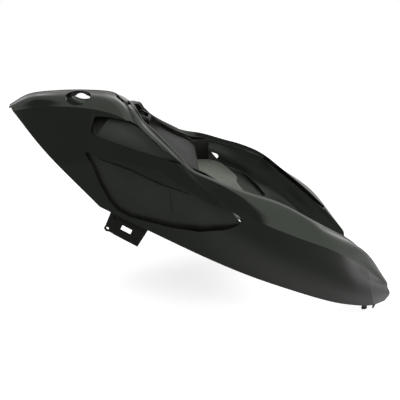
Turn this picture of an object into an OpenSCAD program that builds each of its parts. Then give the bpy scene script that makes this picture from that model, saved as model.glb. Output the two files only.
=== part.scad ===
// Rear body fairing of a scooter: the tail cowl that wraps the seat well.
// One thin moulding, lofted over rails like the lines plan of a boat, with two vent
// openings a side, a vent insert behind each pair, and a bracket under each sill.
// X runs forward, Y to the left, Z up. The cowl is drawn in its riding position.

/* [Body] */

// length of the cowl from the tail tip to the nose, mm
body_len = 775; // [700:5:850]
// half width at the widest place of the side panels, mm
half_width = 209; // [190:1:225]
// height from the nose sill to the top of the tail, mm
body_rise = 438; // [400:2:470]
// wall of the moulding, mm
wall = 3; // [2.4:0.1:3.6]

/* [Seat well rim] */

// width of the channel that carries the seat seal, mm
channel_w = 11; // [9:0.5:13]
// depth of the channel at the front corners, mm
channel_drop = 11; // [8:0.5:13]
// wall of the channel and of the inner webs, mm
web = 2.4; // [2:0.1:3]
// drop of the deck strut under the channel, mm
strut_drop = 13; // [10:0.5:16]

/* [Openings] */

// length of the oval hand hole in the tail shoulder, mm
hand_hole_len = 47; // [40:1:52]
// height of the hand hole across the shoulder, mm
hand_hole_high = 42; // [34:1:44]
// depth of the collar inside the hand hole, mm
hand_hole_deep = 11; // [8:1:14]
// corner radius of the vent openings, mm
vent_r = 4; // [2:0.5:6]

/* [Vent inserts] */

// free space between the cowl and the insert, mm
vent_gap = 6; // [5:0.5:8]
// wall of the insert, mm
insert_wall = 2.2; // [1.8:0.1:2.6]
// diameter of the bosses that carry the insert, mm
boss_d = 10; // [9:0.5:12]
// shank diameter of the insert screws, mm
insert_screw_d = 4; // [3.5:0.1:4.5]

/* [Sill brackets] */

// plate thickness of the bracket, mm
plate_t = 3; // [2.5:0.1:3.5]
// length of the plate along the sill, mm
plate_len = 74; // [70:1:76]
// diameter of the fixing hole in the ear, mm
ear_hole_d = 6.4; // [5.4:0.1:6.8]
// diameter of the stakes that hold the bracket, mm
stake_d = 4; // [3.5:0.1:4.5]

/* [Parts] */

// part to draw

/* [Hidden] */

// colours of the real finish: gloss black body, satin black inserts, matte brackets
c_body = [0.02, 0.02, 0.02];
c_insert = [0.03, 0.03, 0.03];
c_bracket = [0.05, 0.05, 0.05];
c_steel = [0.5, 0.5, 0.52];

// the rails are drawn for these sizes and scale with the body
kx = body_len / 775;
ky = half_width / 209;
kz = body_rise / 438;

// the origin is under the middle of the body, level with the tip of the lowest hook
lift = 205.7;
ahead = -17;

// Body rails of the right side: station, x, y, z
// station 0 is the open rear edge, station 1 the open front edge
// the crest is the roof line, then the rim of the seat well from station 0.31 on
crest = [
    [0, -370, 1, 212],
    [0.07, -329, 1, 232],
    [0.14, -271, 1, 238],
    [0.21, -214, 1, 238],
    [0.265, -169, 1, 233],
    [0.3125, -150, 1, 217],
    [0.35, -130, -50, 207],
    [0.41, -98, -66, 174],
    [0.48, -57, -104, 142],
    [0.55, -27, -145, 122],
    [0.62, 15, -170, 109],
    [0.7, 69, -183, 90],
    [0.78, 126, -190, 71],
    [0.85, 182, -198, 42],
    [0.9, 237, -165, 2],
    [0.95, 286, -132, -35],
    [1, 327, -110, -72],
];
// the brow runs along the middle of the shoulder band
brow = [
    [0, -364, -16, 211],
    [0.07, -316, -24, 228],
    [0.14, -260, -27, 229],
    [0.21, -204, -31, 228],
    [0.27, -159, -38, 220],
    [0.31, -139, -42, 207],
    [0.35, -127, -64, 195],
    [0.41, -90, -86, 165],
    [0.48, -50, -126, 135],
    [0.55, -15, -158, 108],
    [0.7, 76, -196, 71],
    [0.85, 188, -208, 25],
    [0.9, 240, -192, -3],
    [0.95, 312, -162, -52],
    [1, 387, -118, -143],
];
// the crease parts the shoulder band from the side panel
crease = [
    [0, -358, -24, 203],
    [0.07, -306, -35, 212],
    [0.14, -253, -41, 213],
    [0.21, -197, -49, 208],
    [0.27, -148, -63, 195],
    [0.41, -79, -108, 147],
    [0.55, 0, -164, 88],
    [0.7, 89, -200, 42],
    [0.8, 154, -208, 14],
    [0.9, 232, -202, -22],
    [0.955, 299, -172, -73],
    [1, 396, -118, -163],
];
// the belly is the fullest line of the side panel
belly = [
    [0, -290, -70, 129],
    [0.14, -182, -86, 131],
    [0.27, -98, -114, 106],
    [0.41, -36, -148, 63],
    [0.55, 33, -184, 23],
    [0.7, 114, -207, -19],
    [0.84, 205, -209, -63],
    [0.92, 271, -198, -99],
    [0.965, 328, -168, -135],
    [1, 404, -118, -181],
];
// the sill is the lower edge
sill = [
    [0, -201, -88, 28],
    [0.14, -149, -98, 2],
    [0.27, -76, -116, -31],
    [0.41, 1, -138, -63],
    [0.55, 78, -158, -92],
    [0.7, 160, -170, -121],
    [0.84, 250, -170, -155],
    [0.92, 310, -160, -175],
    [0.965, 357, -140, -192],
    [1, 398, -116, -200],
];
// how far the roof edge lies outboard of the crest and below it, by station
roof_edge = [[0, 9, 4], [0.14, 12, 3], [0.27, 13, 4], [0.32, 4, 2], [0.5, 4, 2], [0.65, 7, 3], [1, 7, 3]];

// places of the five cross lines in a section, 0 at the crest and 1 at the sill
t_edge = 0.08;
t_brow = 0.24;
t_crease = 0.4;
t_belly = 0.72;

// grid of the loft
stations = 32;
lines = 11;
rim_start = 10 / stations;

// position of a key, its bare values, and its slope, for a smooth curve through keys
function key_of(L, s, i = 0) = i >= len(L) - 2 || s < L[i + 1][0] ? i : key_of(L, s, i + 1);
function bare(L, i) = [for (j = [1 : len(L[i]) - 1]) L[i][j]];
function pace(L, i) =
    let (a = max(i - 1, 0), b = min(i + 1, len(L) - 1))
    (bare(L, b) - bare(L, a)) / (L[b][0] - L[a][0]);
function curve(L, s) =
    let (i = key_of(L, s), h = L[i + 1][0] - L[i][0], x = (s - L[i][0]) / h)
    (2 * pow(x, 3) - 3 * x * x + 1) * bare(L, i)
    + (pow(x, 3) - 2 * x * x + x) * h * pace(L, i)
    + (3 * x * x - 2 * pow(x, 3)) * bare(L, i + 1)
    + (pow(x, 3) - x * x) * h * pace(L, i + 1);
function straight(L, s) =
    let (i = key_of(L, s), x = (s - L[i][0]) / (L[i + 1][0] - L[i][0]))
    bare(L, i) * (1 - x) + bare(L, i + 1) * x;

// a rail point at the stated body sizes, moved to the riding frame
function seat(p) = [(p[0] + ahead) * kx, p[1] * ky, p[2] * kz + lift];
function rail(L, s) = seat(curve(L, s));

// cross section at a station: the band above the crease, then the side panel
function edge_point(s) = rail(crest, s) + [0, -straight(roof_edge, s)[0] * ky, -straight(roof_edge, s)[1]];
function keyed(t, p) = [t, p[0], p[1], p[2]];
function band(s) = [
    keyed(0, rail(crest, s)),
    keyed(t_edge, edge_point(s)),
    keyed(t_brow, rail(brow, s)),
    keyed(t_crease, rail(crease, s)),
];
function flank(s) = [
    keyed(t_crease, rail(crease, s)),
    keyed(t_belly, rail(belly, s)),
    keyed(1, rail(sill, s)),
];
function skin(s, t) = t < t_crease ? curve(band(s), t) : curve(flank(s), t);

// outward direction: square to the side panel, and turned to straight up over the band
function unit(v) = v / norm(v);
function flank_away(s, t) =
    let (
        a = min(s + 0.01, 1), b = max(s - 0.01, 0), c = min(t + 0.02, 1), d = max(t - 0.02, t_crease)
    )
    unit(cross(skin(s, c) - skin(s, d), skin(a, t) - skin(b, t)));
function away(s, t) =
    t >= t_crease
        ? flank_away(s, t)
        : unit([0, -0.15, 1] * (1 - t / t_crease) + flank_away(s, t_crease) * t / t_crease);
// a point sunk by a depth below the outside of the skin
function sunk(s, t, depth) = skin(s, t) - away(s, t) * depth;

// closed plate between two grids of points that share their layout
module plate_between(outer, inner) {
    n = len(outer);
    m = len(outer[0]);
    flat = [for (g = [inner, outer], r = g, p = r) p];
    function id(k, i, j) = k * n * m + i * m + j;
    polyhedron(flat, concat(
        [for (i = [0 : n - 2], j = [0 : m - 2]) each [
            [id(0, i, j), id(0, i, j + 1), id(0, i + 1, j + 1)],
            [id(0, i, j), id(0, i + 1, j + 1), id(0, i + 1, j)],
            [id(1, i, j), id(1, i + 1, j + 1), id(1, i, j + 1)],
            [id(1, i, j), id(1, i + 1, j), id(1, i + 1, j + 1)],
        ]],
        [for (i = [0 : n - 2]) each [
            [id(0, i, 0), id(0, i + 1, 0), id(1, i + 1, 0)],
            [id(0, i, 0), id(1, i + 1, 0), id(1, i, 0)],
            [id(0, i, m - 1), id(1, i + 1, m - 1), id(0, i + 1, m - 1)],
            [id(0, i, m - 1), id(1, i, m - 1), id(1, i + 1, m - 1)],
        ]],
        [for (j = [0 : m - 2]) each [
            [id(0, 0, j), id(1, 0, j + 1), id(0, 0, j + 1)],
            [id(0, 0, j), id(1, 0, j), id(1, 0, j + 1)],
            [id(0, n - 1, j), id(0, n - 1, j + 1), id(1, n - 1, j + 1)],
            [id(0, n - 1, j), id(1, n - 1, j + 1), id(1, n - 1, j)],
        ]]
    ), convexity = 8);
}

// both sides of the body
module both() {
    children();
    mirror([0, 1, 0]) children();
}

// bare shell of the right side
module side_shell(deep) {
    ss = [for (i = [0 : stations]) i / stations];
    tt = [for (j = [0 : lines]) j / lines];
    plate_between(
        [for (s = ss) [for (t = tt) skin(s, t)]],
        [for (s = ss) [for (t = tt) let (p = sunk(s, t, deep)) [p[0], min(p[1], 1), p[2]]]]
    );
}

// side view outlines of the two vents, drawn as x and z
upper_vent = [
    [-207, 169], [-203, 186], [-199, 197], [-173, 196], [-134, 190], [-119, 183], [-97, 165],
    [-70, 144], [-36, 125], [-61, 128], [-115, 139], [-164, 153], [-195, 163],
];
lower_vent = [
    [-222, 139], [-197, 127], [-168, 118], [-135, 109], [-100, 94], [-71, 85], [-27, 77],
    [4, 66], [40, 56], [54, 50], [61, 42], [55, 33], [33, 18], [-10, -2], [-60, -5],
    [-104, 2], [-144, 10], [-166, 22], [-180, 40], [-196, 75], [-206, 108],
];
module vent_cut(outline) {
    rotate([90, 0, 0])
        linear_extrude(height = 3 * half_width, center = true)
            offset(r = vent_r, $fn = 16)
                offset(delta = -vent_r)
                    polygon([for (p = outline) [(p[0] + ahead) * kx, p[1] * kz + lift]]);
}

// oval hand hole in the shoulder, square to the skin
hole_at = [0.176, 0.22];
module on_skin(s, t) {
    n = away(s, t);
    u = unit(skin(s + 0.02, t) - skin(s - 0.02, t));
    v = cross(n, u);
    p = skin(s, t);
    multmatrix([
        [u[0], v[0], n[0], p[0]],
        [u[1], v[1], n[1], p[1]],
        [u[2], v[2], n[2], p[2]],
    ]) children();
}
module oval(grow, from, to) {
    translate([0, 0, from])
        scale([hand_hole_len / 2 + grow, hand_hole_high / 2 + grow, 1])
            cylinder(r = 1, h = to - from, $fn = 32);
}

// thick local patch of the skin, which the collar of the hand hole is cut from
module collar_stock() {
    ss = [for (i = [0 : 6]) hole_at[0] - 0.09 + 0.03 * i];
    tt = [for (j = [0 : 5]) hole_at[1] - 0.2 + 0.08 * j];
    plate_between(
        [for (s = ss) [for (t = tt) sunk(s, t, wall / 2)]],
        [for (s = ss) [for (t = tt) sunk(s, t, hand_hole_deep)]]
    );
}
module hand_hole_collar() {
    intersection() {
        collar_stock();
        on_skin(hole_at[0], hole_at[1]) oval(web, -hand_hole_deep - 8, 8);
    }
}

// rim channel: crest wall, floor and inner lip, swept along the crest
function drop_at(s) = straight([[0, 3], [0.33, 3], [0.45, 6], [0.56, channel_drop], [0.97, channel_drop], [1, 5]], s)[0];
function inward(s) =
    let (
        a = min(s + 0.008, 1),
        b = max(s - 0.008, rim_start),
        d = rail(crest, a) - rail(crest, b),
        k = norm([d[0], d[1]])
    )
    [-d[1] / k, d[0] / k, 0];
function off_crest(s, q, z) = rail(crest, s) + inward(s) * q + [0, 0, z];
module swept(profiles) {
    n = len(profiles);
    m = len(profiles[0]);
    polyhedron([for (r = profiles, p = r) p], concat(
        [for (i = [0 : n - 2], j = [0 : m - 1]) each [
            [i * m + j, (i + 1) * m + (j + 1) % m, (i + 1) * m + j],
            [i * m + j, i * m + (j + 1) % m, (i + 1) * m + (j + 1) % m],
        ]],
        [[for (j = [m - 1 : -1 : 0]) j]],
        [[for (j = [0 : m - 1]) (n - 1) * m + j]]
    ), convexity = 6);
}
module rim_channel() {
    swept([for (i = [10 : stations])
        let (s = i / stations, d = drop_at(s))
        [
            off_crest(s, -0.8, -0.4),
            off_crest(s, web, -0.4),
            off_crest(s, web, -d),
            off_crest(s, channel_w - web, -d),
            off_crest(s, channel_w - web, -d + 2),
            off_crest(s, channel_w, -d + 2),
            off_crest(s, channel_w, -d - web),
            off_crest(s, -0.8, -d - web),
        ]
    ]);
}

// deck under the rim: a strut a side, inboard of the channel and lower, with a slot
// between them, and the sloping back of the well from one strut to the other
strut_from = 0.335;
strut_to = 0.53;
function mirrored(p) = [p[0], -p[1], p[2]];
function deck_line(s) =
    let (
        z = -drop_at(s) - strut_drop,
        a = off_crest(s, channel_w + 5, z),
        b = off_crest(s, channel_w + 25, z - 8)
    )
    [a, b, mirrored(b), mirrored(a)];
module deck() {
    lines = [for (i = [0 : 8]) deck_line(strut_from + (strut_to - strut_from) * i / 8)];
    plate_between([for (r = lines) [for (p = r) p - [0, 0, web]]], lines);
}

// height of the sloping tray at a place along the body
tray_slope = 0.41;
function tray_z(x) = 58 - tray_slope * x;

// plan of one half of the tray: its front edge bows out twice beside the middle
tray_plan = [
    [-33.5, -79], [-15.5, -101], [1.5, -121], [29.5, -157], [58, -169], [68, -164],
    [80, -138], [92, -108], [95, -92], [91, -72], [88, -52], [91, -30], [95, -12],
];
module tray() {
    right = [for (p = tray_plan) [(p[0] + ahead) * kx, p[1] * ky]];
    left = [for (i = [len(right) - 1 : -1 : 0]) [right[i][0], -right[i][1]]];
    multmatrix([[1, 0, 0, 0], [0, 1, 0, 0], [-tray_slope * kz / kx, 0, 1, tray_z(-ahead) * kz + lift]])
        translate([0, 0, -web])
            linear_extrude(height = web)
                polygon(concat(right, left));
}

// riser wall from the tray up to the deck, bent round the corners of the well:
// place in the plan and top edge, with the wall drawn outward from that line
riser = [[31, -156, 96], [3, -120, 104], [-14, -100, 106], [-30, -78, 110]];
function riser_ring(x, y, top) =
    let (
        low = seat([x, y, tray_z(x)]) - [0, 0, web / 2],
        high = seat([x, y, top]),
        t = [-0.75, sign(y) * 0.75, 0] * web
    )
    [low, high, high + t, low + t];
module riser_wall() {
    swept(concat(
        [for (p = riser) riser_ring(p[0], p[1], p[2])],
        [for (i = [len(riser) - 1 : -1 : 0]) riser_ring(riser[i][0], -riser[i][1], riser[i][2])]
    ));
}

// side ledge on the inside of the panel, running forward and down from the tray
side_shelf = [
    [[61, -158, 31], [70, -198.5, 19]],
    [[100, -178, 12], [104, -206.5, 4]],
    [[133, -188, -6], [133, -210.2, -9]],
    [[167, -191, -40], [167, -209.4, -42]],
    [[192, -190, -70], [192, -202.6, -71]],
];
module side_ledge() {
    swept([for (p = side_shelf)
        let (a = seat(p[0]), b = seat(p[1]), t = [0, 0, web])
        [a, a - t, b - t, b]
    ]);
}

// small hooks under the nose that catch the floor panel: a loop and a slanted prong
module nose_hooks() {
    translate(rail(sill, 0.945) + [0, 1.7, 0]) rotate([90, 0, 8])
        difference() {
            hull() {
                translate([-2.5, -6, 0]) cylinder(d = 7, h = web, center = true, $fn = 16);
                translate([2.5, -6, 0]) cylinder(d = 7, h = web, center = true, $fn = 16);
                translate([0, 5, 0]) cylinder(d = 7, h = web, center = true, $fn = 16);
            }
            translate([0, -5.5, 0]) cylinder(d = 3, h = 10, center = true, $fn = 12);
        }
    hull() {
        translate(rail(sill, 0.975) + [0, 2.1, 5]) rotate([0, 0, 30]) cylinder(d = 4, h = 4, $fn = 12);
        translate(rail(sill, 0.975) + [-4, 2.6, -11]) rotate([0, 0, 30]) cylinder(d = 3, h = 3, $fn = 12);
    }
}

// bosses for the insert screws: station and line on the skin
boss_spots = [[0.235, 0.36], [0.255, 0.69], [0.43, 0.54], [0.6, 0.77], [0.24, 0.982], [0.5, 0.9]];
module insert_bosses() {
    for (b = boss_spots)
        on_skin(b[0], b[1])
            translate([0, 0, -wall - vent_gap])
                difference() {
                    cylinder(d = boss_d, h = vent_gap + wall / 2, $fn = 16);
                    translate([0, 0, -1]) cylinder(d = insert_screw_d, h = vent_gap + 1, $fn = 12);
                }
}

// frame of a sill bracket: origin at its ear hole, flat against the inside of the sill,
// with its first axis along the sill and its third outward
module on_bracket() {
    translate(seat([-191, -84.8, -21]))
        rotate([90, 0, -12.2])
            rotate([0, 0, -27])
                children();
}

// stakes of the cowl that pass through the bracket and are formed over behind it
stakes = [[10, 45], [62, 45]];
module bracket_stakes() {
    on_bracket() for (p = stakes) translate([p[0], p[1], 0]) {
        translate([0, 0, -plate_t - 1]) cylinder(d = stake_d, h = plate_t + 3.6, $fn = 16);
        translate([0, 0, -plate_t - 1.3]) cylinder(d = stake_d + 3, h = 1, $fn = 16);
    }
}

module tail_cowl() color(c_body) {
    difference() {
        union() {
            difference() {
                both() side_shell(wall);
                vent_cut(upper_vent);
                vent_cut(lower_vent);
            }
            both() {
                hand_hole_collar();
                insert_bosses();
                bracket_stakes();
                rim_channel();
                side_ledge();
                nose_hooks();
            }
            deck();
            tray();
            riser_wall();
        }
        both() on_skin(hole_at[0], hole_at[1]) oval(0, -hand_hole_deep - 9, 14);
    }
}

// Vent insert: one curved panel that fills both vents from behind
insert_left = [[0, 0.22], [0.25, 0.15], [0.45, 0.075], [0.6, 0.05], [0.8, 0.052], [1, 0.09]];
insert_right = [[0, 0.5], [0.2, 0.59], [0.4, 0.628], [0.6, 0.63], [0.8, 0.62], [1, 0.55]];
insert_top = [[0, 0.37], [0.19, 0.37], [0.305, 0.28], [0.35, 0.225], [0.45, 0.17], [0.53, 0.12], [0.6, 0.25], [0.7, 0.42]];
function insert_spot(a, b) =
    let (
        s = straight([keyed2(0, curve(insert_left, b)[0]), keyed2(1, curve(insert_right, b)[0])], a)[0],
        top = straight(insert_top, s)[0]
    )
    [s, top + (0.992 - top) * b];
function keyed2(t, v) = [t, v];
module vent_insert() {
    aa = [for (i = [0 : 16]) i / 16];
    bb = [for (j = [0 : 9]) j / 9];
    difference() {
        plate_between(
            [for (a = aa) [for (b = bb) let (q = insert_spot(a, b)) sunk(q[0], q[1], wall + vent_gap)]],
            [for (a = aa) [for (b = bb) let (q = insert_spot(a, b)) sunk(q[0], q[1], wall + vent_gap + insert_wall)]]
        );
        for (b = boss_spots)
            on_skin(b[0], b[1]) translate([0, 0, -wall - vent_gap - insert_wall - 4])
                cylinder(d = insert_screw_d + 0.4, h = insert_wall + 8, $fn = 16);
    }
}
module vent_insert_right() color(c_insert) vent_insert();
module vent_insert_left() color(c_insert) mirror([0, 1, 0]) vent_insert();

// Screws of the inserts, driven from inside the cowl
module vent_screws() color(c_steel) {
    both() for (b = boss_spots)
        on_skin(b[0], b[1]) translate([0, 0, -wall - vent_gap - insert_wall]) {
            translate([0, 0, -2.6]) cylinder(d = 8, h = 2.3, $fn = 48);
            translate([0, 0, -0.4]) cylinder(d = insert_screw_d - 0.4, h = insert_wall + vent_gap - 1, $fn = 48);
        }
}

// Sill bracket: a flat plate staked behind the sill, with an ear hole and a snap window
module sill_bracket() {
    on_bracket() difference() {
        union() {
            translate([0, 0, -plate_t]) linear_extrude(height = plate_t)
                polygon([[-6, -2], [-8, 49], [plate_len, 49], [plate_len - 1, 31],
                    [plate_len - 4, -5], [12, -5], [5, -5]]);
            translate([0, 0, -plate_t]) cylinder(d = 2 * ear_hole_d + 1, h = plate_t, $fn = 64);
            translate([0, 0, -0.5]) linear_extrude(height = 1.7)
                polygon([[14, -5], [13, 32], [plate_len - 1, 32], [plate_len - 4, -5]]);
            translate([3, 27, -1]) cylinder(d = 7, h = 3, $fn = 48);
        }
        translate([0, 0, -plate_t - 1]) cylinder(d = ear_hole_d, h = plate_t + 2, $fn = 64);
        translate([24, 11, -plate_t - 1]) cube([22, 13, plate_t + 4]);
        for (p = stakes)
            translate([p[0], p[1], -plate_t - 1]) cylinder(d = stake_d + 0.5, h = plate_t + 2, $fn = 48);
    }
}
module sill_bracket_right() color(c_bracket) sill_bracket();
module sill_bracket_left() color(c_bracket) mirror([0, 1, 0]) sill_bracket();

tail_cowl();
vent_insert_right();
vent_insert_left();
sill_bracket_right();
sill_bracket_left();
vent_screws();
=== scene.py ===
from functools import lru_cache
from math import cos, pi, radians, sin

import bmesh
import bpy
import numpy as np
from mathutils import Matrix, Vector
from mathutils.kdtree import KDTree


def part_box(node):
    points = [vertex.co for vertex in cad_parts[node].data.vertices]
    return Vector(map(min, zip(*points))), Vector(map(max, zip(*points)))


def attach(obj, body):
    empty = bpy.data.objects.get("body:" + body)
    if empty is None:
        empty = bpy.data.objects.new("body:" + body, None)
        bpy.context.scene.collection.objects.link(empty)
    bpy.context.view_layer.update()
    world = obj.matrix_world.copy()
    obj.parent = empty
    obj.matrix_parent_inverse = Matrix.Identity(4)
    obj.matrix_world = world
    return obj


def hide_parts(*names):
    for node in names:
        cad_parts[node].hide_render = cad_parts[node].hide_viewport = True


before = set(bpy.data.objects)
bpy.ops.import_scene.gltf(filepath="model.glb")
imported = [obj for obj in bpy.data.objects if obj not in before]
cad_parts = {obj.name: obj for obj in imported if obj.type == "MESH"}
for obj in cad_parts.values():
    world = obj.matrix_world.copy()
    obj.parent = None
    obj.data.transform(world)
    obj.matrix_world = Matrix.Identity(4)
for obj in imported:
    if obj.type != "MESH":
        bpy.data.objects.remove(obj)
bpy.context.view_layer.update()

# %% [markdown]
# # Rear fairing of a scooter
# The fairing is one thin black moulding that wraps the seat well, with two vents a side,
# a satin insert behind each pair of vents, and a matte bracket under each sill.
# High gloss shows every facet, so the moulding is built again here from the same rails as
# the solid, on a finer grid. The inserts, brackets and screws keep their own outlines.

MM = 0.001

# %% [markdown]
# The side panel is lofted over five rails, as the lines plan of a boat is. Each row is a
# station along the body from the open tail (0) to the open front (1), then x, y and z in
# millimetres. A smooth curve runs through the rows, so few numbers hold the whole form.

# %% Rails of the right side
crest = np.array([
    [0, -370, 1, 212], [0.07, -329, 1, 232], [0.14, -271, 1, 238], [0.21, -214, 1, 238],
    [0.265, -169, 1, 233], [0.3125, -150, 1, 217], [0.35, -130, -50, 207], [0.41, -98, -66, 174],
    [0.48, -57, -104, 142], [0.55, -27, -145, 122], [0.62, 15, -170, 109], [0.7, 69, -183, 90],
    [0.78, 126, -190, 71], [0.85, 182, -198, 42], [0.9, 237, -165, 2], [0.95, 286, -132, -35],
    [1, 327, -110, -72],
])
brow = np.array([
    [0, -364, -16, 211], [0.07, -316, -24, 228], [0.14, -260, -27, 229], [0.21, -204, -31, 228],
    [0.27, -159, -38, 220], [0.31, -139, -42, 207], [0.35, -127, -64, 195], [0.41, -90, -86, 165],
    [0.48, -50, -126, 135], [0.55, -15, -158, 108], [0.7, 76, -196, 71], [0.85, 188, -208, 25],
    [0.9, 240, -192, -3], [0.95, 312, -162, -52], [1, 387, -118, -143],
])
crease = np.array([
    [0, -358, -24, 203], [0.07, -306, -35, 212], [0.14, -253, -41, 213], [0.21, -197, -49, 208],
    [0.27, -148, -63, 195], [0.41, -79, -108, 147], [0.55, 0, -164, 88], [0.7, 89, -200, 42],
    [0.8, 154, -208, 14], [0.9, 232, -202, -22], [0.955, 299, -172, -73], [1, 396, -118, -163],
])
belly = np.array([
    [0, -290, -70, 129], [0.14, -182, -86, 131], [0.27, -98, -114, 106], [0.41, -36, -148, 63],
    [0.55, 33, -184, 23], [0.7, 114, -207, -19], [0.84, 205, -209, -63], [0.92, 271, -198, -99],
    [0.965, 328, -168, -135], [1, 404, -118, -181],
])
sill = np.array([
    [0, -201, -88, 28], [0.14, -149, -98, 2], [0.27, -76, -116, -31], [0.41, 1, -138, -63],
    [0.55, 78, -158, -92], [0.7, 160, -170, -121], [0.84, 250, -170, -155], [0.92, 310, -160, -175],
    [0.965, 357, -140, -192], [1, 398, -116, -200],
])
roof_edge = np.array([
    [0, 9, 4], [0.14, 12, 3], [0.27, 13, 4], [0.32, 4, 2], [0.5, 4, 2], [0.65, 7, 3], [1, 7, 3],
])

RAISED = 205.7
AHEAD = -17
T_EDGE, T_BROW, T_CREASE, T_BELLY = 0.08, 0.24, 0.4, 0.72
WALL, WEB, VENT_GAP, INSERT_WALL = 3.0, 2.4, 6.0, 2.2
CHANNEL_W, CHANNEL_DROP, STRUT_DROP = 11.0, 11.0, 13.0


def curve(keys, s):
    """Point of the smooth curve through the keys at place s."""
    places, values = keys[:, 0], keys[:, 1:]
    i = int(min(max(np.searchsorted(places, s, side="right") - 1, 0), len(places) - 2))

    def pace(k):
        a, b = max(k - 1, 0), min(k + 1, len(places) - 1)
        return (values[b] - values[a]) / (places[b] - places[a])

    h = places[i + 1] - places[i]
    x = (s - places[i]) / h
    return (
        (2 * x**3 - 3 * x * x + 1) * values[i]
        + (x**3 - 2 * x * x + x) * h * pace(i)
        + (3 * x * x - 2 * x**3) * values[i + 1]
        + (x**3 - x * x) * h * pace(i + 1)
    )


def straight(keys, s):
    """Point of the straight line through the keys at place s."""
    return np.array([np.interp(s, keys[:, 0], keys[:, j]) for j in range(1, keys.shape[1])])


def seat(p):
    """A point of the drawing, moved to the riding frame."""
    return np.array([p[0] + AHEAD, p[1], p[2] + RAISED])


@lru_cache(maxsize=None)
def section(s):
    """Keys of the shoulder band and of the side panel at a station."""
    top, off = seat(curve(crest, s)), straight(roof_edge, s)
    edge = top + [0, -off[0], -off[1]]
    low = seat(curve(crease, s))
    band = np.array([[0, *top], [T_EDGE, *edge], [T_BROW, *seat(curve(brow, s))], [T_CREASE, *low]])
    flank = np.array([[T_CREASE, *low], [T_BELLY, *seat(curve(belly, s))], [1, *seat(curve(sill, s))]])
    return band, flank


def skin(s, t):
    band, flank = section(round(s, 6))
    return curve(band if t < T_CREASE else flank, t)


def unit(v):
    v = np.asarray(v, float)
    return v / np.linalg.norm(v)


def flank_away(s, t):
    a, b, c, d = min(s + 0.01, 1), max(s - 0.01, 0), min(t + 0.02, 1), max(t - 0.02, T_CREASE)
    return unit(np.cross(skin(s, c) - skin(s, d), skin(a, t) - skin(b, t)))


def away(s, t):
    """Outward direction of the skin, turned to straight up over the shoulder."""
    if t >= T_CREASE:
        return flank_away(s, t)
    share = t / T_CREASE
    return unit(np.array([0, -0.15, 1]) * (1 - share) + flank_away(s, T_CREASE) * share)


def sunk(s, t, depth):
    return skin(s, t) - away(s, t) * depth


print("panel, widest at", np.round(skin(0.84, T_BELLY), 1))


# %% [markdown]
# Every moulded piece is a closed sheet: a grid of points on its outside, the same grid on
# its inside, and a border that joins them. The outside and the inside get their own
# material slots, because a mould is polished on the side that shows.

# %% Closed sheets and swept profiles
OUTSIDE, INSIDE, GRAINED, TRAY = 0, 1, 2, 3


def new_object(name, points, faces, slots=None):
    mesh = bpy.data.meshes.new(name)
    mesh.from_pydata([tuple(np.asarray(p) * MM) for p in points], [], faces)
    if slots:
        for face, slot in zip(mesh.polygons, slots):
            face.material_index = slot
    obj = bpy.data.objects.new(name, mesh)
    bpy.context.scene.collection.objects.link(obj)
    return obj


def plate(name, outer, inner):
    """Closed sheet between two grids of points with the same layout."""
    n, m = len(outer), len(outer[0])
    points = [p for grid in (outer, inner) for row in grid for p in row]

    def at(side, i, j):
        return side * n * m + i * m + j

    faces, slots = [], []
    for i in range(n - 1):
        for j in range(m - 1):
            faces.append((at(0, i, j), at(0, i, j + 1), at(0, i + 1, j + 1), at(0, i + 1, j)))
            faces.append((at(1, i, j), at(1, i + 1, j), at(1, i + 1, j + 1), at(1, i, j + 1)))
            slots += [OUTSIDE, INSIDE]
    for i in range(n - 1):
        faces.append((at(0, i, 0), at(0, i + 1, 0), at(1, i + 1, 0), at(1, i, 0)))
        faces.append((at(0, i, m - 1), at(1, i, m - 1), at(1, i + 1, m - 1), at(0, i + 1, m - 1)))
        slots += [OUTSIDE, OUTSIDE]
    for j in range(m - 1):
        faces.append((at(0, 0, j), at(1, 0, j), at(1, 0, j + 1), at(0, 0, j + 1)))
        faces.append((at(0, n - 1, j), at(0, n - 1, j + 1), at(1, n - 1, j + 1), at(1, n - 1, j)))
        slots += [OUTSIDE, OUTSIDE]
    return new_object(name, points, faces, slots)


def swept(name, profiles):
    """Closed bar through a row of profiles with the same number of points."""
    n, m = len(profiles), len(profiles[0])
    faces = [
        (i * m + j, i * m + (j + 1) % m, (i + 1) * m + (j + 1) % m, (i + 1) * m + j)
        for i in range(n - 1)
        for j in range(m)
    ]
    faces.append(tuple(range(m - 1, -1, -1)))
    faces.append(tuple((n - 1) * m + j for j in range(m)))
    return new_object(name, [p for r in profiles for p in r], faces)


def outward(obj):
    """Turns all faces of a closed mesh outward."""
    mesh = bmesh.new()
    mesh.from_mesh(obj.data)
    bmesh.ops.recalc_face_normals(mesh, faces=mesh.faces)
    if mesh.calc_volume(signed=True) < 0:
        bmesh.ops.reverse_faces(mesh, faces=mesh.faces)
    mesh.to_mesh(obj.data)
    mesh.free()
    return obj


def apply_modifiers(obj):
    shape = bpy.data.meshes.new_from_object(obj.evaluated_get(bpy.context.evaluated_depsgraph_get()))
    obj.modifiers.clear()
    obj.data = shape
    return obj


def carve(obj, tool, operation="DIFFERENCE"):
    step = obj.modifiers.new("carve", "BOOLEAN")
    step.operation, step.object, step.solver = operation, outward(tool), "EXACT"
    apply_modifiers(obj)
    bpy.data.objects.remove(tool)
    return obj


def wear(obj, *mats):
    """Gives a mesh its materials and keeps the slot that each face had."""
    slots = [face.material_index for face in obj.data.polygons]
    obj.data.materials.clear()
    for m in mats:
        obj.data.materials.append(m)
    obj.data.polygons.foreach_set("material_index", slots)


def mirrored_copy(obj, name):
    twin = bpy.data.objects.new(name, obj.data.copy())
    bpy.context.scene.collection.objects.link(twin)
    twin.data.transform(Matrix.Scale(-1, 4, (0, 1, 0)))
    twin.data.flip_normals()
    return twin


def joined(name, objs):
    with bpy.context.temp_override(active_object=objs[0], selected_editable_objects=objs, selected_objects=objs):
        bpy.ops.object.join()
    objs[0].name = name
    return objs[0]


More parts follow.
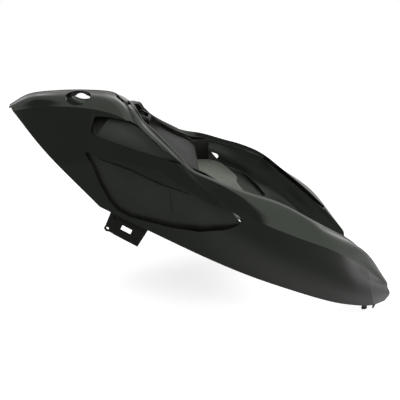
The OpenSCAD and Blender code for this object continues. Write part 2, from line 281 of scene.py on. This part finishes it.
# %% [markdown]
# The bare side panel comes first, on a grid five times finer than the solid's. The vents
# are cut straight through from the side, as a slide of the mould forms them, and the hand
# hole is cut square to the shoulder.

# %% Side panel with its vents and hand hole
STATIONS, LINES = 160, 55
HAND_HOLE = (0.176, 0.22)
HOLE_LONG, HOLE_HIGH, HOLE_DEEP = 47.0, 42.0, 11.0
VENT_ROUND = 4.0

upper_vent = [
    [-207, 169], [-203, 186], [-199, 197], [-173, 196], [-134, 190], [-119, 183], [-97, 165], [-70, 144],
    [-36, 125], [-61, 128], [-115, 139], [-164, 153], [-195, 163],
]
lower_vent = [
    [-222, 139], [-197, 127], [-168, 118], [-135, 109], [-100, 94], [-71, 85], [-27, 77], [4, 66],
    [40, 56], [54, 50], [61, 42], [55, 33], [33, 18], [-10, -2], [-60, -5], [-104, 2], [-144, 10],
    [-166, 22], [-180, 40], [-196, 75], [-206, 108],
]


def rounded(outline, radius, steps=5):
    """Outline with its corners rounded inside."""
    n, out = len(outline), []
    for k in range(n):
        p, a, b = (np.array(outline[j % n], float) for j in (k, k - 1, k + 1))
        u, v = unit(a - p), unit(b - p)
        half = np.arccos(np.clip(u @ v, -1, 1)) / 2
        reach = min(radius / np.tan(half), 0.45 * np.linalg.norm(a - p), 0.45 * np.linalg.norm(b - p))
        start, end = p + u * reach, p + v * reach
        for i in range(steps + 1):
            x = i / steps
            out.append((1 - x) ** 2 * start + 2 * x * (1 - x) * p + x * x * end)
    return out


def vent_tool(name, outline):
    ring = [seat([p[0], 0, p[1]]) for p in rounded(outline, VENT_ROUND)]
    return swept(name, [[p + [0, y, 0] for p in ring] for y in (-260, -20)])


def on_skin(s, t):
    """Frame of the skin: origin, along, across and away."""
    n = away(s, t)
    u = unit(skin(s + 0.02, t) - skin(s - 0.02, t))
    return skin(s, t), u, np.cross(n, u), n


def round_tool(name, s, t, long, high, low, top, sides=64):
    p, u, v, n = on_skin(s, t)
    ring = [u * long / 2 * cos(2 * pi * k / sides) + v * high / 2 * sin(2 * pi * k / sides) for k in range(sides)]
    return swept(name, [[p + q + n * h for q in ring] for h in (low, top)])


def middle_kept(p):
    return np.array([p[0], min(p[1], 1), p[2]])


outer_grid = [[skin(i / STATIONS, j / LINES) for j in range(LINES + 1)] for i in range(STATIONS + 1)]
panel = plate(
    "panel",
    outer_grid,
    [[middle_kept(sunk(i / STATIONS, j / LINES, WALL)) for j in range(LINES + 1)] for i in range(STATIONS + 1)],
)
outward(panel)
carve(panel, vent_tool("upper_tool", upper_vent))
carve(panel, vent_tool("lower_tool", lower_vent))

# the cut rims of the vents get the dull web finish, so they show as dark lines: painted shade along the vent edges
for outline in (upper_vent, lower_vent):
    ring = np.array([seat([p[0], 0, p[1]]) for p in rounded(outline, VENT_ROUND)])[:, [0, 2]]
    way = np.roll(ring, -1, axis=0) - ring
    for face in panel.data.polygons:
        if abs(face.normal.y) < 0.05:
            off = np.array(face.center)[[0, 2]] / MM - ring
            along = np.clip((off * way).sum(1) / (way * way).sum(1), 0, 1)
            if np.linalg.norm(off - way * along[:, None], axis=1).min() < 0.3:
                face.material_index = GRAINED
carve(panel, round_tool("hole_tool", *HAND_HOLE, HOLE_LONG, HOLE_HIGH, -HOLE_DEEP - 9, 14))
print("side panel:", len(panel.data.polygons), "faces")

# %% Collar inside the hand hole
patch_s = [HAND_HOLE[0] - 0.09 + 0.0075 * i for i in range(25)]
patch_t = [HAND_HOLE[1] - 0.2 + 0.02 * j for j in range(21)]
collar = outward(
    plate(
        "collar",
        [[sunk(s, t, WALL / 2) for t in patch_t] for s in patch_s],
        [[sunk(s, t, HOLE_DEEP) for t in patch_t] for s in patch_s],
    )
)
carve(
    collar,
    round_tool("collar_tool", *HAND_HOLE, HOLE_LONG + 2 * WEB, HOLE_HIGH + 2 * WEB, -HOLE_DEEP - 8, 8),
    "INTERSECT",
)
carve(collar, round_tool("hole_tool", *HAND_HOLE, HOLE_LONG, HOLE_HIGH, -HOLE_DEEP - 9, 14))
print("collar:", len(collar.data.polygons), "faces")

# %% [markdown]
# The rim of the seat well carries a small channel for the seat seal. It is swept along
# the crest. The deck strut, the sloping tray and the riser between them are plain webs of
# the same moulding.

# %% Rim channel, deck, tray and riser
RIM_START = 10 / 32
DROPS = np.array([[0, 3], [0.33, 3], [0.45, 6], [0.56, CHANNEL_DROP], [0.97, CHANNEL_DROP], [1, 5]])


def rim(s):
    return seat(curve(crest, s))


def off_crest(s, q, z):
    d = rim(min(s + 0.008, 1)) - rim(max(s - 0.008, RIM_START))
    k = np.hypot(d[0], d[1])
    return rim(s) + np.array([-d[1] / k, d[0] / k, 0]) * q + [0, 0, z]


def channel_profile(s):
    d, w = straight(DROPS, s)[0], CHANNEL_W
    spots = [(-0.8, -0.4), (WEB, -0.4), (WEB, -d), (w - WEB, -d), (w - WEB, -d + 2), (w, -d + 2), (w, -d - WEB), (-0.8, -d - WEB)]
    return [off_crest(s, q, z) for q, z in spots]


channel = outward(swept("channel", [channel_profile(RIM_START + (1 - RIM_START) * i / 110) for i in range(111)]))


def other_side(p):
    return np.array([p[0], -p[1], p[2]])


def deck_line(s):
    z = -straight(DROPS, s)[0] - STRUT_DROP
    a, b = off_crest(s, CHANNEL_W + 5, z), off_crest(s, CHANNEL_W + 25, z - 8)
    return [a, b, other_side(b), other_side(a)]


deck_lines = [deck_line(0.335 + 0.195 * i / 24) for i in range(25)]
deck = outward(plate("deck", [[p - [0, 0, WEB] for p in r] for r in deck_lines], deck_lines))


TRAY_SLOPE = 0.41
tray_plan = [
    [-33.5, -79], [-15.5, -101], [1.5, -121], [29.5, -157], [58, -169], [68, -164], [80, -138], [92, -108],
    [95, -92], [91, -72], [88, -52], [91, -30], [95, -12],
]
riser = [
    [31, -156, 96], [3, -120, 104], [-14, -100, 106], [-30, -78, 110],
]
side_shelf = [
    [[61, -158, 31], [70, -198.5, 19]],
    [[100, -178, 12], [104, -206.5, 4]],
    [[133, -188, -6], [133, -210.2, -9]],
    [[167, -191, -40], [167, -209.4, -42]],
    [[192, -190, -70], [192, -202.6, -71]],
]


def tray_z(x):
    return 58 - TRAY_SLOPE * x


tray_ring = [seat([x, y, tray_z(x)]) for x, y in rounded([*tray_plan, *[(x, -y) for x, y in tray_plan[::-1]]], 8, 4)]
tray = outward(swept("tray", [[p + [0, 0, h] for p in tray_ring] for h in (-WEB, 0)]))

riser_line = [*riser, *[(x, -y, top) for x, y, top in riser[::-1]]]
riser_rings = []
for x, y, top in riser_line:
    low, high = seat([x, y, tray_z(x)]) - [0, 0, WEB / 2], seat([x, y, top])
    t = np.array([-0.75, np.sign(y) * 0.75, 0]) * WEB
    riser_rings.append([low, high, high + t, low + t])
riser_wall = outward(swept("riser_wall", riser_rings))

side_ledge = outward(
    swept(
        "side_ledge",
        [[seat(a), seat(a) - [0, 0, WEB], seat(b) - [0, 0, WEB], seat(b)] for a, b in side_shelf],
    )
)
print("rim channel:", len(channel.data.polygons), "faces")

# %% [markdown]
# Bosses carry the inserts, stakes carry the brackets, and two small hooks hang under
# the nose to catch the floor panel. All of them are moulded with the cowl.

# %% Bosses, stakes and nose hooks
boss_spots = [
    [0.235, 0.36], [0.255, 0.69], [0.43, 0.54], [0.6, 0.77], [0.24, 0.982], [0.5, 0.9],
]
BOSS_D, SCREW_D, STAKE_D, PLATE_T = 10.0, 4.0, 4.0, 3.0
small = []
for k, (s, t) in enumerate(boss_spots):
    boss = round_tool(f"boss_{k}", s, t, BOSS_D, BOSS_D, -WALL - VENT_GAP, -WALL / 2, 32)
    outward(boss)
    carve(boss, round_tool("bore", s, t, SCREW_D, SCREW_D, -WALL - VENT_GAP - 1, -WALL, 24))
    small.append(boss)

bracket_frame = (
    Matrix.Translation(Vector(seat([-191, -84.8, -21])))
    @ Matrix.Rotation(radians(-12.2), 4, "Z")
    @ Matrix.Rotation(radians(90), 4, "X")
    @ Matrix.Rotation(radians(-27), 4, "Z")
)


def rod(name, matrix, radius, low, top, sides=32):
    ring = [(radius * cos(2 * pi * k / sides), radius * sin(2 * pi * k / sides)) for k in range(sides)]
    return outward(swept(name, [[np.array(matrix @ Vector((x, y, h))) for x, y in ring] for h in (low, top)]))


for k, (x, y) in enumerate([(10, 45), (62, 45)]):
    here = bracket_frame @ Matrix.Translation((x, y, 0))
    small.append(rod(f"stake_{k}", here, STAKE_D / 2, -PLATE_T - 1, 2.6))
    small.append(rod(f"stake_head_{k}", here, STAKE_D / 2 + 1.5, -PLATE_T - 1.3, -PLATE_T - 0.3))


def hull_of(name, points):
    mesh = bmesh.new()
    for p in points:
        mesh.verts.new(tuple(np.asarray(p) * MM))
    bmesh.ops.convex_hull(mesh, input=mesh.verts)
    bmesh.ops.delete(mesh, geom=[v for v in mesh.verts if not v.link_faces], context="VERTS")
    obj = bpy.data.objects.new(name, bpy.data.meshes.new(name))
    mesh.to_mesh(obj.data)
    mesh.free()
    bpy.context.scene.collection.objects.link(obj)
    return outward(obj)


def disc(matrix, x, y, radius, low, top, sides=32):
    return [
        np.array(matrix @ Vector((x + radius * cos(2 * pi * k / sides), y + radius * sin(2 * pi * k / sides), h)))
        for h in (low, top)
        for k in range(sides)
    ]


loop_frame = (
    Matrix.Translation(Vector(seat(curve(sill, 0.945)) + [0, 1.7, 0]))
    @ Matrix.Rotation(radians(8), 4, "Z")
    @ Matrix.Rotation(radians(90), 4, "X")
)
loop = hull_of(
    "loop_hook",
    [p for x, y in ((-2.5, -6), (2.5, -6), (0, 5)) for p in disc(loop_frame, x, y, 3.5, -WEB / 2, WEB / 2)],
)
carve(loop, rod("loop_bore", loop_frame @ Matrix.Translation((0, -5.5, 0)), 1.5, -5, 5))
prong_spot = seat(curve(sill, 0.975))
prong = hull_of(
    "prong",
    disc(Matrix.Translation(Vector(prong_spot + [0, 2.1, 5])), 0, 0, 2, 0, 4)
    + disc(Matrix.Translation(Vector(prong_spot + [-4, 2.6, -11])), 0, 0, 1.5, 0, 3),
)
small += [loop, prong]
print("small features a side:", len(small))

# %% One moulding from all of it
for obj in [collar, channel, side_ledge, *small]:
    for face in obj.data.polygons:
        face.material_index = OUTSIDE
for obj, slot in ((deck, GRAINED), (tray, TRAY), (riser_wall, GRAINED)):
    for face in obj.data.polygons:
        face.material_index = slot
half = [panel, collar, channel, side_ledge, *small]
other = [mirrored_copy(obj, obj.name + "_left") for obj in half]
# join() merges slots by material, so each piece carries the same four while it joins
slot_marks = [bpy.data.materials.new(f"slot_{k}") for k in range(4)]
for obj in [*half, *other, deck, tray, riser_wall]:
    wear(obj, *slot_marks)
cowl = joined("tail_cowl_moulding", [*half, *other, deck, tray, riser_wall])

low, high = np.array(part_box("tail_cowl")[0]), np.array(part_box("tail_cowl")[1])
points = np.array([v.co for v in cowl.data.vertices])
print("cowl before it is held in the CAD box:", np.round(points.min(0) * 1000, 2), np.round(points.max(0) * 1000, 2))
cowl.data.vertices.foreach_set("co", np.clip(points, low, high).astype(np.float32).ravel())
cowl.data.shade_smooth()
edge = cowl.modifiers.new("soft_edges", "BEVEL")
edge.width, edge.segments, edge.limit_method, edge.angle_limit = 0.0006, 2, "ANGLE", radians(40)
edge.use_clamp_overlap = True
apply_modifiers(cowl)
cowl.data.shade_smooth()
cowl.data.set_sharp_from_angle(angle=radians(32))
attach(cowl, "root")
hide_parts("tail_cowl")
print("cowl:", len(cowl.data.polygons), "faces")

# %% [markdown]
# A gloss surface shows its normals more than its shape. The cuts leave uneven facets along
# the vents, so each corner of the outer skin gets the exact normal of the loft. The crease
# keeps two normals, one a side, and the shoulder band in front is turned up a little, as
# the moulded chamfer of the real panel mirrors the ceiling along its whole length.

# %% Normals of the outer skin
CREASE_LINE = round(T_CREASE * LINES)
CALM_LINES = 6
FLANK_TURN = np.array([0.0, 0.0, -0.4])
BAND_TURN = np.array([0.0, 0.0, 0.5])
NOSE_LINE = round(0.966 * STATIONS)
NOSE_TURN = np.array([0.5, 0.0, 0.05])


def grid_normals(grid):
    n = np.cross(np.gradient(grid, axis=1), np.gradient(grid, axis=0))
    return n / np.linalg.norm(n, axis=2, keepdims=True)


def eased(x, low, high):
    x = np.clip((x - low) / (high - low), 0, 1)
    return x * x * (3 - 2 * x)


grid = np.array(outer_grid) * MM
places = np.linspace(0, 1, STATIONS + 1)[:, None, None]
band_normals = grid_normals(grid[:, : CREASE_LINE + 1]) + BAND_TURN * eased(places, 0.5, 0.66)
band_normals /= np.linalg.norm(band_normals, axis=2, keepdims=True)
flank_normals = grid_normals(grid[:, CREASE_LINE:])
flank_normals[:, :CALM_LINES] = flank_normals[:, CALM_LINES : CALM_LINES + 1]
fade = 1 - eased(np.linspace(0, 1, LINES - CREASE_LINE + 1)[None, :, None], 0.1, 0.7)
flank_normals = flank_normals + FLANK_TURN * eased(places, 0.5, 0.72) * fade
flank_normals /= np.linalg.norm(flank_normals, axis=2, keepdims=True)


def tree_of(points):
    tree = KDTree(len(points))
    for k, p in enumerate(points):
        tree.insert(p, k)
    tree.balance()
    return tree


sides = []
for part, normals in ((grid[:, : CREASE_LINE + 1], band_normals), (grid[:, CREASE_LINE:], flank_normals)):
    sides.append((tree_of(part.reshape(-1, 3)), normals.reshape(-1, 3)))
middles = (grid[:-1, :-1] + grid[1:, :-1] + grid[:-1, 1:] + grid[1:, 1:]) / 4
cell_tree = tree_of(middles.reshape(-1, 3))


def skin_normal(side, p):
    tree, normals = sides[side]
    near = tree.find_n(p, 4)
    weights = np.array([1 / (d * d + 1e-12) for _, _, d in near])
    return unit((normals[[k for _, k, _ in near]] * weights[:, None]).sum(0))


mesh = cowl.data
corner_normals = np.array([c.vector for c in mesh.corner_normals])
turned = 0
for face in mesh.polygons:
    flip = np.array([1, -1 if face.center.y > 0 else 1, 1])
    centre = np.array(face.center) * flip
    _, cell, distance = cell_tree.find(centre)
    if distance > 0.006:
        continue
    side = 0 if cell % LINES < CREASE_LINE else 1
    ideal = skin_normal(side, centre)
    if (np.array(face.normal) * flip) @ ideal < 0.75:
        continue
    nearest = sides[side][0].find(centre)[0]
    if abs((centre - np.array(nearest)) @ ideal) > 0.0015:
        continue
    nose = NOSE_TURN if cell // LINES >= NOSE_LINE and side else 0
    for corner in face.loop_indices:
        p = np.array(mesh.vertices[mesh.loops[corner].vertex_index].co) * flip
        corner_normals[corner] = unit(skin_normal(side, p) + nose) * flip
    turned += 1
mesh.normals_split_custom_set(corner_normals.tolist())
print("faces with the loft's own normals:", turned)

# %% [markdown]
# The insert is one curved panel behind both vents. Its long reflections run smoothly in
# the photograph, so it gets a fine grid as well.

# %% Vent inserts
insert_left = np.array([
    [0, 0.22], [0.25, 0.15], [0.45, 0.075], [0.6, 0.05], [0.8, 0.052], [1, 0.09],
])
insert_right = np.array([
    [0, 0.5], [0.2, 0.59], [0.4, 0.628], [0.6, 0.63], [0.8, 0.62], [1, 0.55],
])
insert_top = np.array([
    [0, 0.37], [0.19, 0.37], [0.305, 0.28], [0.35, 0.225], [0.45, 0.17], [0.53, 0.12], [0.6, 0.25],
    [0.7, 0.42],
])


def insert_spot(a, b):
    s = (1 - a) * curve(insert_left, b)[0] + a * curve(insert_right, b)[0]
    top = straight(insert_top, s)[0]
    return s, top + (0.992 - top) * b


def insert_grid(depth, across=64, down=36):
    return [[sunk(*insert_spot(i / across, j / down), depth) for j in range(down + 1)] for i in range(across + 1)]


insert = outward(plate("vent_insert", insert_grid(WALL + VENT_GAP), insert_grid(WALL + VENT_GAP + INSERT_WALL)))
for s, t in boss_spots:
    depth = -WALL - VENT_GAP - INSERT_WALL - 4
    carve(insert, round_tool("bore", s, t, SCREW_D + 0.4, SCREW_D + 0.4, depth, -WALL - VENT_GAP + 4, 24))


def rod_between(name, p, q, radius, sides=16):
    """Round tool from one point to another."""
    d = unit(q - p)
    u = unit(np.cross(d, [0, 1, 0]))
    v = np.cross(d, u)
    ring = [radius * (u * cos(2 * pi * k / sides) + v * sin(2 * pi * k / sides)) for k in range(sides)]
    return swept(name, [[end + r for r in ring] for end in (p, q)])


def on_insert(a, b):
    return sunk(*insert_spot(a, b), WALL + VENT_GAP)


groove_top, groove_low = on_insert(0.475, 0.69), on_insert(0.458, 0.83)
carve(insert, rod_between("groove", groove_top, groove_low, 0.9))
carve(insert, rod_between("groove_end", groove_low - [0, 1.6, 0], groove_low + [0, 1.6, 0.01], 1.7))

# a long slot under the blade between the vents shows the dark inside of the cowl
insert_points = np.array([v.co for v in insert.data.vertices]) / MM
slot_rings = []
for p, radius in zip(lower_vent[1:7], (1, 1.8, 2.4, 2.6, 2, 1)):
    x, _, z = seat([p[0], 0, p[1]])
    z -= 3.5 + radius
    y = insert_points[np.hypot(insert_points[:, 0] - x, insert_points[:, 2] - z).argmin()][1]
    turn = [2 * pi * k / 16 for k in range(16)]
    slot_rings.append([np.array([x, y + 6 * cos(a), z + radius * sin(a)]) for a in turn])
carve(insert, swept("blade_slot", slot_rings))

# the upper rear corner of the insert is split off along two planes; only its shading normals are turned to face more
# upward, and its shape stays as it was
facet = [on_insert(0, 0.1), on_insert(0.125, 0.13), on_insert(0.085, 0.36)]
shape = bmesh.new()
shape.from_mesh(insert.data)
for a, b in ((facet[1], facet[2]), (facet[2], facet[0])):
    bmesh.ops.bisect_plane(
        shape,
        geom=[*shape.verts, *shape.edges, *shape.faces],
        plane_co=a * MM,
        plane_no=unit(np.cross(b - a, [0, 1, 0])),
    )
shape.to_mesh(insert.data)
shape.free()


def in_facet(p):
    """True where a point of the insert lies inside the facet, seen from the side."""
    turns = [np.cross((b - a)[[0, 2]], (p - a)[[0, 2]]) for a, b in zip(facet, facet[1:] + facet[:1])]
    return min(turns) > 0 or max(turns) < 0


FACET_TURN = np.array([-0.1, 0, 1.5])
insert_twin = mirrored_copy(insert, "vent_insert_left_panel")
insert.name = "vent_insert_right_panel"
for obj, side in ((insert, "right"), (insert_twin, "left")):
    low, high = (np.array(v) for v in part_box("vent_insert_" + side))
    points = np.clip(np.array([v.co for v in obj.data.vertices]), low, high)
    obj.data.vertices.foreach_set("co", points.astype(np.float32).ravel())
    obj.data.shade_smooth()
    obj.data.set_sharp_from_angle(angle=radians(35))
    normals = np.array([c.vector for c in obj.data.corner_normals])
    for face in obj.data.polygons:
        if in_facet(np.array(face.center) / MM) and abs(face.normal.y) > 0.5:
            for corner in face.loop_indices:
                normals[corner] = unit(normals[corner] + FACET_TURN)
    obj.data.normals_split_custom_set(normals.tolist())
    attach(obj, "root")
    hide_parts("vent_insert_" + side)
print("insert:", len(insert.data.polygons), "faces")

# %% [markdown]
# Brackets and screws are exact solids already, so they only get a fine bevel.

# %% Brackets and screws
for name, width in (("sill_bracket_right", 0.0005), ("sill_bracket_left", 0.0005), ("vent_screws", 0.0002)):
    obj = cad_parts[name]
    bevel = obj.modifiers.new("edge", "BEVEL")
    bevel.width, bevel.segments, bevel.limit_method, bevel.angle_limit = width, 2, "ANGLE", radians(50)
print("brackets and screws bevelled")


# %% [markdown]
# Moulded black plastic is a dark body under a clear, smooth surface. What the eye sees is
# almost only the mirror image of the room, with a faint olive tint, broken by orange peel,
# dust and fine scuffs. Roughness and bump carry those, and the base colour stays near black,
# lightened at random and along convex edges, where the lighter edge is a painted highlight.

# %% Plastic finishes
def plastic(name, colour, rough, rough_spread, peel, peel_size, tint, scuffs, edge_highlight_and_wear_amount, mirror=0.5):
    """Black plastic with orange peel, fine scuffs and worn edges, whose lighter colour is a painted highlight."""
    mat = bpy.data.materials.new(name)
    mat.use_nodes = True
    nodes, links = mat.node_tree.nodes, mat.node_tree.links
    shader = nodes["Principled BSDF"]
    shader.inputs["IOR"].default_value = 1.5
    shader.inputs["Specular IOR Level"].default_value = mirror
    shader.inputs["Specular Tint"].default_value = (*tint, 1)
    place = nodes.new("ShaderNodeTexCoord")

    def noise(scale, detail=3.0, warp=0.0):
        n = nodes.new("ShaderNodeTexNoise")
        n.inputs["Scale"].default_value = scale
        n.inputs["Detail"].default_value = detail
        n.inputs["Distortion"].default_value = warp
        links.new(place.outputs["Object"], n.inputs["Vector"])
        return n.outputs["Fac"]

    def mapped(value, a, b, low, high):
        m = nodes.new("ShaderNodeMapRange")
        m.inputs["From Min"].default_value, m.inputs["From Max"].default_value = a, b
        m.inputs["To Min"].default_value, m.inputs["To Max"].default_value = low, high
        links.new(value, m.inputs["Value"])
        return m.outputs["Result"]

    def sum_of(a, b):
        m = nodes.new("ShaderNodeMath")
        m.operation = "ADD"
        links.new(a, m.inputs[0])
        links.new(b, m.inputs[1])
        return m.outputs[0]

    patches = mapped(noise(9), 0.35, 0.65, 0, rough_spread)
    hairlines = mapped(noise(240, 1.0, 3.0), 0.62, 0.8, 0, scuffs)
    # convex edges, found by pointiness, get rougher and lighter: the rougher finish is wear, the lighter colour a
    # painted highlight
    corners = nodes.new("ShaderNodeNewGeometry")
    edge_highlight_and_wear = mapped(corners.outputs["Pointiness"], 0.52, 0.62, 0, edge_highlight_and_wear_amount)
    base = mapped(noise(30), 0, 1, rough, rough + 0.01)
    links.new(sum_of(sum_of(sum_of(base, patches), hairlines), edge_highlight_and_wear), shader.inputs["Roughness"])

    tone = nodes.new("ShaderNodeMix")
    tone.data_type = "RGBA"
    tone.inputs["A"].default_value = (*colour, 1)
    tone.inputs["B"].default_value = (*[c * 1.7 + 0.002 for c in colour], 1)
    links.new(sum_of(mapped(noise(14, 5.0), 0.4, 0.7, 0, 0.6), edge_highlight_and_wear), tone.inputs["Factor"])
    links.new(tone.outputs["Result"], shader.inputs["Base Color"])

    bump = nodes.new("ShaderNodeBump")
    bump.inputs["Strength"].default_value = peel
    bump.inputs["Distance"].default_value = 0.0004
    links.new(noise(peel_size, 2.0), bump.inputs["Height"])
    links.new(bump.outputs["Normal"], shader.inputs["Normal"])
    return mat


olive = (0.89, 1.0, 0.85)
gloss = plastic("body_gloss", (0.0035, 0.0037, 0.003), 0.07, 0.03, 0.03, 130, olive, 0.05, 0.08)
moulded = plastic("body_inside", (0.017, 0.0185, 0.0155), 0.34, 0.06, 0.08, 260, olive, 0.05, 0.05)
webs = plastic("web_satin", (0.006, 0.0065, 0.0055), 0.42, 0.04, 0.06, 400, olive, 0.04, 0.05, 0.05)
# the tray's grey base colour is a painted sheen: it stands for the broad reflection of the ceiling on a tray that is
# black moulding like the rest
tray_matte_painted_sheen = plastic("tray_matte_painted_sheen", (0.068, 0.071, 0.06), 0.5, 0.04, 0.06, 400, olive, 0.04, 0.05)
satin = plastic("insert_satin", (0.018, 0.0185, 0.0165), 0.3, 0.05, 0.05, 300, olive, 0.05, 0.05)
grained = plastic("bracket_grained", (0.005, 0.005, 0.0044), 0.55, 0.06, 0.5, 1400, (1, 1, 0.95), 0.05, 0.1, 0.3)

steel = bpy.data.materials.new("zinc_steel")
steel.use_nodes = True
steel_shader = steel.node_tree.nodes["Principled BSDF"]
steel_shader.inputs["Metallic"].default_value = 1.0
steel_noise = steel.node_tree.nodes.new("ShaderNodeTexNoise")
steel_noise.inputs["Scale"].default_value = 900
steel_range = steel.node_tree.nodes.new("ShaderNodeMapRange")
steel_range.inputs["To Min"].default_value, steel_range.inputs["To Max"].default_value = 0.25, 0.5
steel_ramp = steel.node_tree.nodes.new("ShaderNodeMix")
steel_ramp.data_type = "RGBA"
steel_ramp.inputs["A"].default_value = (0.5, 0.5, 0.49, 1)
steel_ramp.inputs["B"].default_value = (0.62, 0.62, 0.6, 1)
for a, b in (
    (steel_noise.outputs["Fac"], steel_range.inputs["Value"]),
    (steel_range.outputs["Result"], steel_shader.inputs["Roughness"]),
    (steel_noise.outputs["Fac"], steel_ramp.inputs["Factor"]),
    (steel_ramp.outputs["Result"], steel_shader.inputs["Base Color"]),
):
    steel.node_tree.links.new(a, b)


wear(cowl, gloss, moulded, webs, tray_matte_painted_sheen)
for mark in slot_marks:
    bpy.data.materials.remove(mark)
wear(insert, satin, satin)
wear(insert_twin, satin, satin)
wear(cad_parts["sill_bracket_right"], grained)
wear(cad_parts["sill_bracket_left"], grained)
wear(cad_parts["vent_screws"], steel)
print("finishes:", [m.name for m in bpy.data.materials if m.users])

# %% [markdown]
# A gloss black thing is lit by what it mirrors. The room is white behind, above and beside it,
# and dim on the camera's side, so the shoulder turns grey and the side panel stays deep. The tray
# is grey by its own lighter base colour, a painted sheen. The floor is white to the camera and keeps the soft
# shadow.

# %% Floor
floor = new_object("floor", [(-4000, -4000, 0), (4000, -4000, 0), (4000, 4000, 0), (-4000, 4000, 0)], [(0, 1, 2, 3)])
floor.location.z = -0.0005
floor_mat = bpy.data.materials.new("floor_paper")
floor_mat.use_nodes = True
fn, fl = floor_mat.node_tree.nodes, floor_mat.node_tree.links
fn.clear()


def node(kind, nodes, **values):
    made = nodes.new(kind)
    for key, value in values.items():
        if key in made.inputs:
            made.inputs[key].default_value = value
        else:
            setattr(made, key, value)
    return made


paper = node("ShaderNodeBsdfDiffuse", fn, Color=(0.8, 0.8, 0.8, 1))
lift_up = node("ShaderNodeEmission", fn, Strength=0.6)
seen = fn.new("ShaderNodeAddShader")
fl.new(paper.outputs[0], seen.inputs[0])
fl.new(lift_up.outputs[0], seen.inputs[1])
where = fn.new("ShaderNodeTexCoord")
split = fn.new("ShaderNodeSeparateXYZ")
fl.new(where.outputs["Object"], split.inputs[0])
front = node("ShaderNodeMapRange", fn, interpolation_type="SMOOTHSTEP")
for key, value in (("From Min", 0.3), ("From Max", 0.9), ("To Min", 0.38), ("To Max", 0.95)):
    front.inputs[key].default_value = value
fl.new(split.outputs["Y"], front.inputs["Value"])
side = node("ShaderNodeMapRange", fn, interpolation_type="SMOOTHSTEP")
for key, value in (("From Min", 0.42), ("From Max", 0.55), ("To Min", 0.38), ("To Max", 1.1)):
    side.inputs[key].default_value = value
fl.new(split.outputs["X"], side.inputs["Value"])
brighter = node("ShaderNodeMath", fn, operation="MAXIMUM")
fl.new(front.outputs["Result"], brighter.inputs[0])
fl.new(side.outputs["Result"], brighter.inputs[1])
mirrored_floor = fn.new("ShaderNodeEmission")
fl.new(brighter.outputs[0], mirrored_floor.inputs["Strength"])
plain = node("ShaderNodeBsdfDiffuse", fn, Color=(0.3, 0.3, 0.3, 1))
path = fn.new("ShaderNodeLightPath")
glossy_mix, camera_mix = fn.new("ShaderNodeMixShader"), fn.new("ShaderNodeMixShader")
fl.new(path.outputs["Is Glossy Ray"], glossy_mix.inputs[0])
fl.new(plain.outputs[0], glossy_mix.inputs[1])
fl.new(mirrored_floor.outputs[0], glossy_mix.inputs[2])
fl.new(path.outputs["Is Camera Ray"], camera_mix.inputs[0])
fl.new(glossy_mix.outputs[0], camera_mix.inputs[1])
fl.new(seen.outputs[0], camera_mix.inputs[2])
floor_out = fn.new("ShaderNodeOutputMaterial")
fl.new(camera_mix.outputs[0], floor_out.inputs["Surface"])
wear(floor, floor_mat)

# %% Room
world = bpy.data.worlds.new("room")
bpy.context.scene.world = world
world.use_nodes = True
wn, wl = world.node_tree.nodes, world.node_tree.links
wn.clear()
aim = wn.new("ShaderNodeTexCoord")
axes = wn.new("ShaderNodeSeparateXYZ")
wl.new(aim.outputs["Generated"], axes.inputs[0])


def ramp(axis, low, high, dim, bright):
    """Eased step of the room's strength along one axis."""
    step = node("ShaderNodeMapRange", wn, interpolation_type="SMOOTHSTEP")
    for key, value in (("From Min", low), ("From Max", high), ("To Min", dim), ("To Max", bright)):
        step.inputs[key].default_value = value
    wl.new(axes.outputs[axis], step.inputs["Value"])
    return step.outputs["Result"]


def combined(operation, a, b):
    m = node("ShaderNodeMath", wn, operation=operation)
    wl.new(a, m.inputs[0])
    wl.new(b, m.inputs[1])
    return m.outputs[0]


back_wall = ramp("Y", -0.52, -0.36, 0.32, 1.1)
front_lamp = combined("MULTIPLY", ramp("X", -0.3, 0.0, 0, 1), ramp("Z", 0.1, 0.22, 0, 1.5))
room_strength = combined("MAXIMUM", back_wall, front_lamp)
room_mirror, room_light, room_seen = (wn.new("ShaderNodeBackground") for _ in range(3))
wl.new(room_strength, room_mirror.inputs["Strength"])
room_light.inputs["Strength"].default_value = 0.5
room_seen.inputs["Strength"].default_value = 1.0
for b in (room_mirror, room_light, room_seen):
    b.inputs["Color"].default_value = (1, 1, 1, 1)
ray = wn.new("ShaderNodeLightPath")
mix_glossy, mix_camera = wn.new("ShaderNodeMixShader"), wn.new("ShaderNodeMixShader")
wl.new(ray.outputs["Is Glossy Ray"], mix_glossy.inputs[0])
wl.new(room_light.outputs[0], mix_glossy.inputs[1])
wl.new(room_mirror.outputs[0], mix_glossy.inputs[2])
wl.new(ray.outputs["Is Camera Ray"], mix_camera.inputs[0])
wl.new(mix_glossy.outputs[0], mix_camera.inputs[1])
wl.new(room_seen.outputs[0], mix_camera.inputs[2])
room_out = wn.new("ShaderNodeOutputWorld")
wl.new(mix_camera.outputs[0], room_out.inputs["Surface"])


def softbox(name, size, place_at, aim_at, radiance):
    """Square lamp of the stated radiance, hidden from mirror rays."""
    data = bpy.data.lights.new(name, "AREA")
    data.shape, data.size = "SQUARE", size
    data.energy = radiance * pi * size * size
    lamp = bpy.data.objects.new(name, data)
    bpy.context.scene.collection.objects.link(lamp)
    lamp.location = place_at
    lamp.rotation_euler = (Vector(aim_at) - Vector(place_at)).to_track_quat("-Z", "Y").to_euler()
    lamp.visible_glossy = False
    return lamp


softbox("ceiling_box", 2.4, (-0.1, -0.1, 2.2), (0, 0, 0.2), 1.5)
print("room and lamps ready")

# %% [markdown]
# The camera was fitted to the photograph: the same silhouette points of the part were laid
# over the picture until they met. The image is square, 400 by 400.

# %% Camera
camera_data = bpy.data.cameras.new("camera")
camera_data.lens, camera_data.sensor_width = 36.0, 36.0
camera = bpy.data.objects.new("camera", camera_data)
bpy.context.scene.collection.objects.link(camera)
camera.location = (-0.0674, -0.810, 0.5486)
camera.rotation_euler = (radians(67.096), 0, radians(-3.558))
bpy.context.scene.camera = camera
bpy.context.scene.view_settings.view_transform = "Standard"
